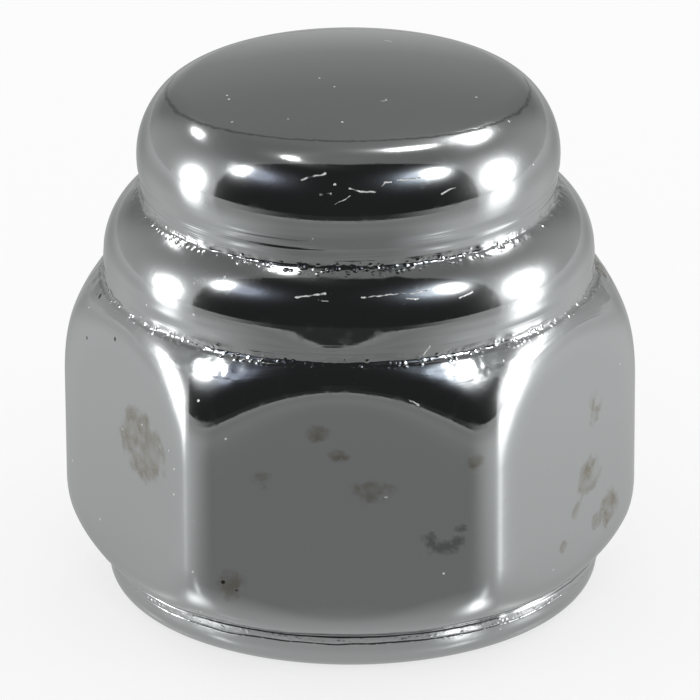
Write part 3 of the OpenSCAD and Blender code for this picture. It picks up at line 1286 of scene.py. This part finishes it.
@dataclass
class Tent:
    """A light tent with a dark opening in front, round a pale table, for the mirror.

    Angles are in degrees as seen from the nut, with the camera's side at azimuth 0,
    and distances are in millimetres. A radiance of 1 is paper white. A pair of angles
    says where something starts and where it is whole.
    """

    radius: float = 430.0
    columns: int = 360
    wall_rows: int = 92
    table_rows: int = 220
    table_hole: float = 3.0
    table_z: float = -0.005
    gloss: float = 1.6
    varnish_roughness: float = 0.18
    opening_azimuth: tuple[float, float] = (-75.0, 72.0)
    opening_top: float = 79.0
    opening_edge: tuple[float, float] = (1.1, 0.93)
    opening_dark: float = 0.024
    table_front: float = 110.0
    front_left: tuple[float, float] = (75, 25)
    front_right: tuple[float, float] = (64, 16)
    table_mm: tuple[float, ...] = (8.5, 11, 14, 24, 31, 38, 44, 52, 65, 78, 107)
    table_front_light: tuple[float, ...] = (
        0.50, 0.40, 0.23, 0.23, 0.24, 0.26, 0.28, 0.27, 0.25, 0.28, 0.34,
    )  # fmt: skip
    table_side_light: tuple[float, ...] = (
        0.45, 0.50, 0.55, 0.60, 0.60, 0.58, 0.55, 0.48, 0.42, 0.38, 0.37,
    )  # fmt: skip
    table_behind: tuple[float, float] = (115, 150)
    table_behind_dim: float = 0.25
    table_left: tuple[float, float] = (60, 100)
    table_left_dim: float = 0.1
    painted_shine_mm: tuple[float, float] = (10.7, 0.9)
    wall_degrees: tuple[float, ...] = (0, 5, 15, 30, 45, 60, 75, 90)
    side_light: tuple[float, ...] = (0.48, 0.45, 0.42, 0.36, 0.25, 0.20, 0.21, 0.24)
    back_light: tuple[float, ...] = (0.52, 0.47, 0.33, 0.25, 0.21, 0.20, 0.21, 0.24)
    back: tuple[float, float] = (125, 150)
    corner: tuple[float, float] = (152, 14)
    corner_top: tuple[float, float] = (40, 10)
    corner_dim: float = 0.35
    # Azimuth, reach and radiance of the lamps' painted reflections in the table's varnish
    painted_shines: tuple[tuple[float, float, float], ...] = ((-43, 7, 1.2), (31, 5, 2.16))
    lamps: tuple[Lamp, ...] = (
        Lamp(-70, 38, 3.3, 5.2, 10, 1.0, 3.2),
        Lamp(57.5, 42, 4.8, 5.4, 10, 1.1, 3.2),
        Lamp(-92, 8, 7, 9.5, 6, 1.0, 5),
        Lamp(89, 13, 9.5, 11, 5, 1.2, 5.5),
        Lamp(-132, 40, 6, 2.5, 6, 0.3, 4),
        Lamp(135, 50, 10, 5, 6, 0.4, 5),
        Lamp(151, 65, 5, 4, 6, 0.3, 4),
        Lamp(-96, 73, 5, 2, 6, 0.3, 4),
        Lamp(-59, 39.5, 7, 4.5, 0, 0.6, 4, (0.74, 0.8, 1.0)),
        Lamp(47.5, 43.5, 7, 5, 0, 1.0, 4, (0.76, 0.85, 1.0)),
    )

    def wall(self, azimuth: np.ndarray, elevation: np.ndarray) -> np.ndarray:
        """Gives the light of the tent's cloth and of its dark opening.

        The cloth dims from the table upwards and at its back corners. The opening is
        |across|^4 + |up|^4 < 1, with a soft edge.

        Args:
            azimuth: Azimuths in degrees.
            elevation: Elevations in degrees, of the same shape.

        Returns:
            Radiance, of the same shape.
        """
        turn = np.abs(azimuth)
        side = np.interp(elevation, self.wall_degrees, self.side_light)
        back = np.interp(elevation, self.wall_degrees, self.back_light)
        corner = ridge(turn, *self.corner) * smooth_step(elevation, *self.corner_top)
        back = back * (1 - self.corner_dim * corner)
        share = smooth_step(turn, *self.back)
        light = side * (1 - share) + back * share
        left, right = self.opening_azimuth
        across = (azimuth - (left + right) / 2) / ((right - left) / 2)
        edge = across**4 + (np.maximum(elevation, 0) / self.opening_top) ** 4
        inside = smooth_step(edge, *self.opening_edge)
        return light * (1 - inside) + self.opening_dark * inside

    def table(self, azimuth: np.ndarray, distance: np.ndarray) -> np.ndarray:
        """Gives the light of the table, dark beyond its front edge.

        The table dims a little on the left and behind, and near the foot it carries a
         painted reflection of the two front lamps in its varnish.

        Args:
            azimuth: Azimuths in degrees.
            distance: Distances from the nut's axis in millimetres, of the same shape.

        Returns:
            Radiance, of the same shape.
        """
        turn = np.abs(azimuth)
        front = np.interp(distance, self.table_mm, self.table_front_light)
        front = np.where(distance < self.table_front, front, self.opening_dark)
        side = np.interp(distance, self.table_mm, self.table_side_light)
        side = side * (1 - self.table_behind_dim * smooth_step(turn, *self.table_behind))
        side = side * (1 - self.table_left_dim * smooth_step(-azimuth, *self.table_left))
        left, right = (smooth_step(turn, *e) for e in (self.front_left, self.front_right))
        share = np.where(azimuth < 0, left, right)
        # Painted reflection of the two front lamps near the foot
        shine = sum(light * ridge(azimuth, at, wide) for at, wide, light in self.painted_shines)
        shine = shine * ridge(distance, *self.painted_shine_mm)
        return side * (1 - share) + front * share + shine

    def glowing(
        self, name: str, points: np.ndarray, light: np.ndarray, gloss: float
    ) -> None:
        """Makes a grid that glows point by point and that mirror rays alone can see.

        Args:
            name: The object's name.
            points: Points in millimetres, as rows x columns x 3, closing on themselves.
            light: The radiance of each point, with red, green and blue.
            gloss: The refractive index of its varnish, 1 for none.
        """
        mesh = bpy.data.meshes.new(name)
        faces = grid_faces(*points.shape[:2]).tolist()
        mesh.from_pydata((points.reshape(-1, 3) * MM).tolist(), [], faces)
        layer = mesh.color_attributes.new("light", "FLOAT_COLOR", "POINT")
        rgba = np.concatenate([light, np.ones_like(light[..., :1])], axis=-1)
        layer.data.foreach_set("color", rgba.ravel())
        made, tree = new_material(name)
        # Mirror rays find the lamps by themselves, and nothing else looks for them
        made.cycles.emission_sampling = "NONE"
        varnish = {
            "Base Color": (0, 0, 0, 1),
            "Roughness": self.varnish_roughness,
            "IOR": gloss,
            "Emission Color": add_node(tree, "VertexColor", layer_name="light"),
            "Emission Strength": 1.0,
        }
        shader = add_node(tree, "BsdfPrincipled", varnish)
        add_node(tree, "OutputMaterial", {"Surface": shader})
        mesh.materials.append(made)
        thing = bpy.data.objects.new(name, mesh)
        bpy.context.scene.collection.objects.link(thing)
        for ray in ("camera", "diffuse", "shadow", "transmission", "volume_scatter"):
            setattr(thing, "visible_" + ray, False)

    def build(self, turn: float) -> None:
        """Builds the cloth and the table.

        Args:
            turn: The camera's azimuth from -Y towards +X, in degrees.
        """
        azimuth = np.linspace(-180, 180, self.columns, endpoint=False)[None, :]
        a = np.radians(azimuth + turn)
        elevation = np.linspace(-1, 90, self.wall_rows)[:, None]
        e = np.radians(elevation)
        ball = [np.cos(e) * np.sin(a), -np.cos(e) * np.cos(a), np.sin(e) * np.ones_like(a)]
        around, elevation = np.broadcast_arrays(azimuth, elevation)
        light = self.wall(around, elevation)[..., None] * np.ones(3)
        for lamp in self.lamps:
            light = light + lamp.radiance(around, elevation)
        self.glowing("tent_cloth", self.radius * np.stack(ball, axis=-1), light, 1.0)
        distance = np.geomspace(self.table_hole, self.radius, self.table_rows)[::-1, None]
        around, distance = np.broadcast_arrays(azimuth, distance)
        level = np.full_like(distance, self.table_z)
        disc = np.stack([distance * np.sin(a), -distance * np.cos(a), level], axis=-1)
        light = self.table(around, distance)[..., None] * np.ones(3)
        self.glowing("varnished_table", disc, light, self.gloss)


@dataclass
class Studio:
    """Floor, white room, light tent and camera, in millimetres and degrees.

    The floor and the room light the nut evenly. The light tent and its table are there
    for the chrome to mirror, and nothing else sees them.
    """

    aim: tuple[float, float, float] = (0.014, 0.0, 7.987)
    camera_distance: float = 280.0
    camera_azimuth: float = 1.99
    camera_elevation: float = 22.777
    camera_roll: float = 0.336
    picture_angle: float = 4.747
    sensor_width: float = 36.0
    clip: tuple[float, float] = (10.0, 5000.0)
    floor_size: float = 900.0
    floor_z: float = -0.01
    floor_colour: str = "#f4f4f4"
    floor_light: float = 0.7
    tent: Tent = field(default_factory=Tent)

    def camera(self) -> None:
        """Stands the camera at camera_distance from the aim and makes it the scene's.

        Azimuth is measured from -Y towards +X. The camera is rolled clockwise by
        camera_roll about its own axis.
        """
        a, e = math.radians(self.camera_azimuth), math.radians(self.camera_elevation)
        back = (math.sin(a) * math.cos(e), -math.cos(a) * math.cos(e), math.sin(e))
        back = Vector(back)
        data = bpy.data.cameras.new("camera")
        data.sensor_width = self.sensor_width
        data.angle = math.radians(self.picture_angle)
        data.clip_start, data.clip_end = (MM * end for end in self.clip)
        eye = bpy.data.objects.new("camera", data)
        eye.location = (Vector(self.aim) + back * self.camera_distance) * MM
        eye.rotation_mode = "QUATERNION"
        turn = Quaternion((0, 0, 1), math.radians(-self.camera_roll))
        eye.rotation_quaternion = (-back).to_track_quat("-Z", "Y") @ turn
        bpy.context.scene.collection.objects.link(eye)
        bpy.context.scene.camera = eye

    def floor(self) -> None:
        """Lays the pale floor: white paper that keeps a faint shadow of the nut."""
        half, z = self.floor_size / 2 * MM, self.floor_z * MM
        mesh = bpy.data.meshes.new("floor")
        corners = [(-half, -half, z), (half, -half, z), (half, half, z), (-half, half, z)]
        mesh.from_pydata(corners, [], [(0, 1, 2, 3)])
        sheet = bpy.data.objects.new("floor", mesh)
        bpy.context.scene.collection.objects.link(sheet)
        made, tree = new_material("white_paper")
        paper = add_node(tree, "BsdfDiffuse", {"Color": linear(self.floor_colour)})
        white = add_node(tree, "Emission", {"Color": (1, 1, 1, 1), "Strength": 1.0})
        path = add_node(tree, "LightPath").outputs
        seen = {0: path["Is Camera Ray"], 1: path["Is Glossy Ray"]}
        seen = add_node(tree, "Math", seen, operation="ADD")
        seen = {0: seen, 1: path["Is Transmission Ray"]}
        seen = add_node(tree, "Math", seen, operation="ADD")
        share = add_node(tree, "Math", {0: seen, 1: self.floor_light}, operation="MULTIPLY")
        both = add_node(tree, "MixShader", {0: share, 1: paper, 2: white})
        add_node(tree, "OutputMaterial", {"Surface": both})
        mesh.materials.append(made)

    def sky(self) -> None:
        """Lights the studio evenly from all round with a white room."""
        world = bpy.data.worlds.new("white_room")
        bpy.context.scene.world = world
        world.use_nodes = True
        tree = world.node_tree
        tree.nodes.clear()
        light = add_node(tree, "Background", {"Color": (1, 1, 1, 1), "Strength": 1.0})
        add_node(tree, "OutputWorld", {"Surface": light})

    def build(self) -> None:
        """Builds the studio."""
        self.camera()
        self.floor()
        self.sky()
        self.tent.build(self.camera_azimuth)


def main() -> None:
    """Builds the studio and the nut, and reports each piece."""
    logging.basicConfig(level=logging.INFO, format="%(message)s")
    bpy.context.scene.view_settings.view_transform = "Standard"
    Studio().build()
    nut = CapNut()
    skin = nut.build()
    nut.dress(skin)
    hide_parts("cap_nut")
    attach(skin, "root")
    LOG.info("%s: %d faces", skin.name, len(skin.data.polygons))


if __name__ == "__main__":
    main()
